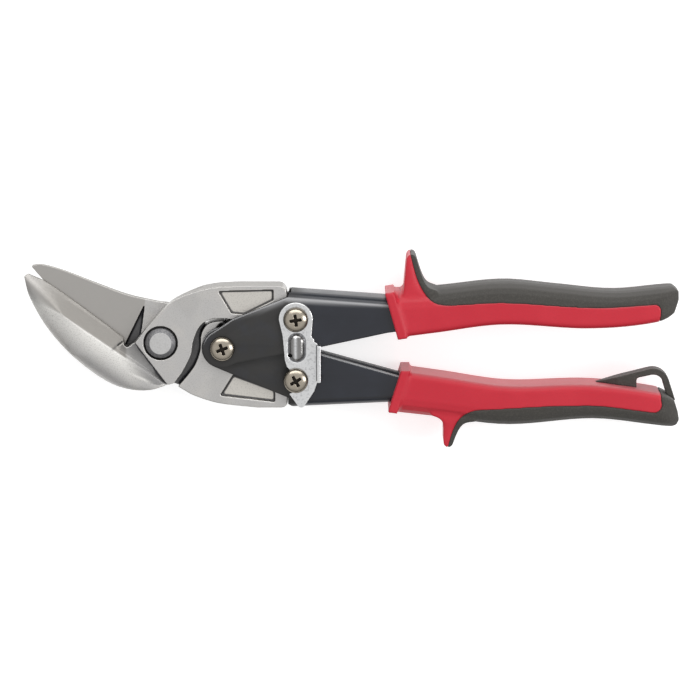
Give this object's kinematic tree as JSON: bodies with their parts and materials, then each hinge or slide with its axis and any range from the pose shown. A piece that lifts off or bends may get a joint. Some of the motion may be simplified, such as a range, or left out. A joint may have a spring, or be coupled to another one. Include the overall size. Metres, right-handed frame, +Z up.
{
  "type": "offset aviation snips",
  "caption": "Left-cut offset aviation snips: forged jaws on a compound linkage, channel handles with a thumb latch, guarded soft grips and a hang loop.",
  "frame": {"origin": "on the main jaw pivot's axis, at the flat end of the jaw bolt, the lowest point of the tool as it lies on a bench", "axes": "+X towards the grips, +Y towards the upper handle, +Z up from the bench, towards the latch side"},
  "size_m": [0.2498, 0.0742, 0.028],
  "materials": {
    "jaw_steel": "satin, bead blasted",
    "bolt_steel": "machined",
    "zinc_steel": "bright zinc plate",
    "nickel_screw": "nickel plate",
    "channel_paint": "semi-gloss",
    "red_grip": "satin moulded",
    "soft_pad": "matte",
    "spring_wire": "oiled"
  },
  "bodies": {
    "upper_handle": {"upper_handle_channel": "channel_paint", "handle_pivot_screw": "nickel_screw", "handle_pivot_bush": "bolt_steel", "handle_pivot_nut": "zinc_steel", "upper_link_screw": "nickel_screw", "upper_link_bush": "bolt_steel", "upper_link_nut": "zinc_steel", "upper_grip_shell": "red_grip", "upper_grip_pad": "soft_pad", "torsion_spring": "spring_wire"},
    "lower_handle": {"lower_handle_channel": "channel_paint", "lower_link_screw": "nickel_screw", "lower_link_bush": "bolt_steel", "lower_link_nut": "zinc_steel", "latch_stop_collar": "bolt_steel", "lower_grip_shell": "red_grip", "lower_grip_pad": "soft_pad", "hang_loop": "soft_pad"},
    "front_jaw": {"front_jaw": "jaw_steel", "jaw_bolt": "bolt_steel", "jaw_washer": "zinc_steel", "jaw_lock_nut": "zinc_steel"},
    "rear_jaw": {"rear_jaw": "jaw_steel"},
    "latch": {"latch_plate": "zinc_steel"}
  },
  "joints": [
    {"name": "handle_pivot", "type": "hinge", "parent": "upper_handle", "child": "lower_handle", "pos_m": [0.0235, -0.0018, 0.0136], "axis": [0, 0, -1], "range_deg": [0, 36], "deforming": ["torsion_spring"]},
    {"name": "upper_link", "type": "hinge", "parent": "upper_handle", "child": "front_jaw", "pos_m": [0.0515, 0.0096, 0.0136], "axis": [0, 0, -1], "range_deg": [0, 8]},
    {"name": "jaw_pivot", "type": "hinge", "parent": "front_jaw", "child": "rear_jaw", "pos_m": [0, 0, 0.0136], "axis": [0, 0, -1], "range_deg": [0, 19]},
    {"name": "latch_pivot", "type": "hinge", "parent": "upper_handle", "child": "latch", "pos_m": [0.0515, 0.0096, 0.0136], "axis": [0, 0, 1], "range_deg": [0, 82]}
  ],
  "couplings": [
    {"joint": "upper_link", "follows": "handle_pivot", "ratio": 0.21892},
    {"joint": "jaw_pivot", "follows": "handle_pivot", "ratio": 0.51665},
    {"joint": "latch_pivot", "follows": "handle_pivot", "ratio": 2.25}
  ]
}
